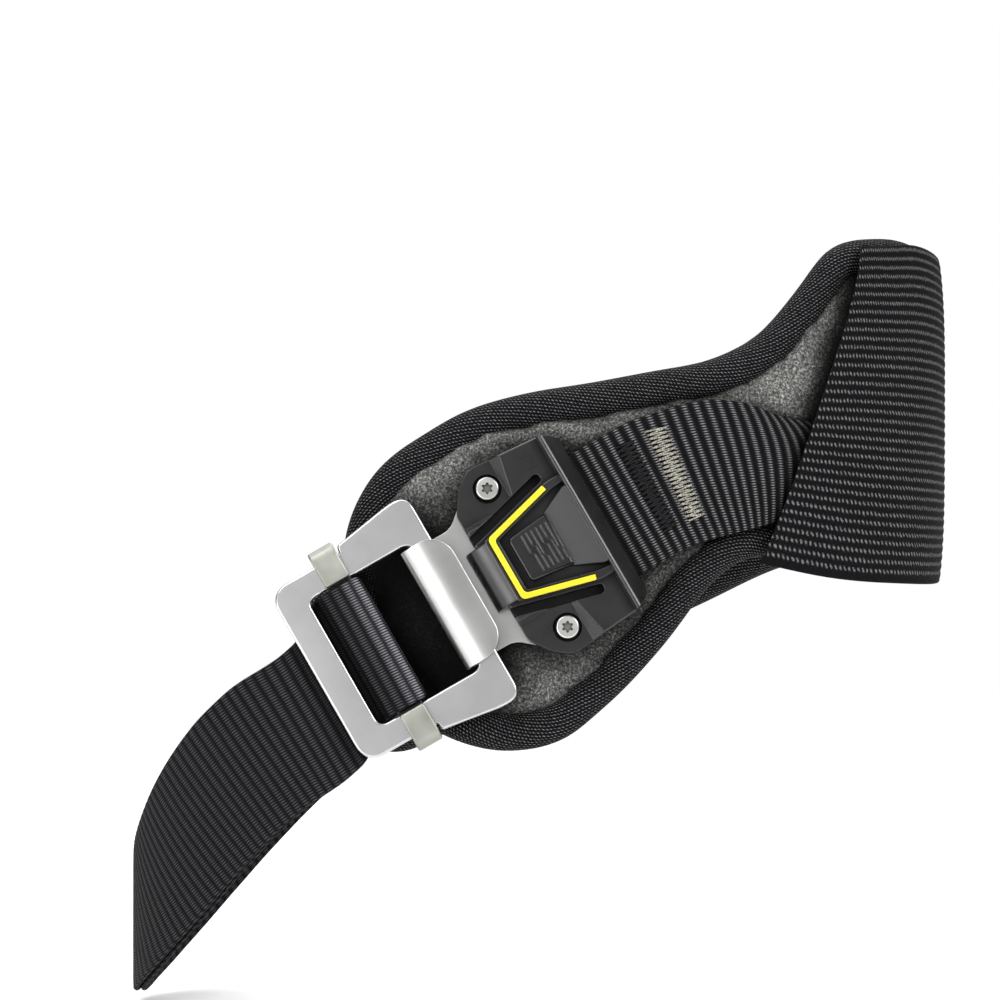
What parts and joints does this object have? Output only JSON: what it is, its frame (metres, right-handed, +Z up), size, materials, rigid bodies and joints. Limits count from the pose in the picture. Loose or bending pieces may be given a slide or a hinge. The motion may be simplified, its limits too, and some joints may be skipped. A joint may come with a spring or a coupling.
{
  "type": "sit harness leg loop",
  "caption": "Padded leg loop of a sit harness, closed by a hook-and-latch buckle whose webbing is taken up by a sliding bar in a flat steel frame.",
  "frame": {"origin": "middle of the opening that the thigh goes through, at the height of the picture's buckle", "axes": "+Z up the thigh, -Y out of the front where the buckle lies, +X to the picture's right"},
  "size_m": [0.2676, 0.1719, 0.2471],
  "materials": {
    "pad_face": "brushed suede",
    "pad_roll": "matte weave",
    "shell_weave": "coarse weave",
    "webbing": "ribbed weave",
    "frame_steel": "satin",
    "cast_steel": "blasted",
    "hook_steel": "polished",
    "latch_black": "satin moulded",
    "line_yellow": "satin moulded",
    "screw_steel": "satin"
  },
  "bodies": {
    "root": {"leg_pad": "pad_face", "pad_binding": "pad_roll", "outer_shell": "shell_weave", "leg_strap": "webbing", "buckle_strap": "webbing", "adjuster_frame": "frame_steel", "slider_bar": "cast_steel", "hook_plate": "hook_steel", "latch_body": "latch_black", "latch_line": "line_yellow", "screw_upper": "screw_steel", "screw_lower": "screw_steel"}
  },
  "joints": []
}
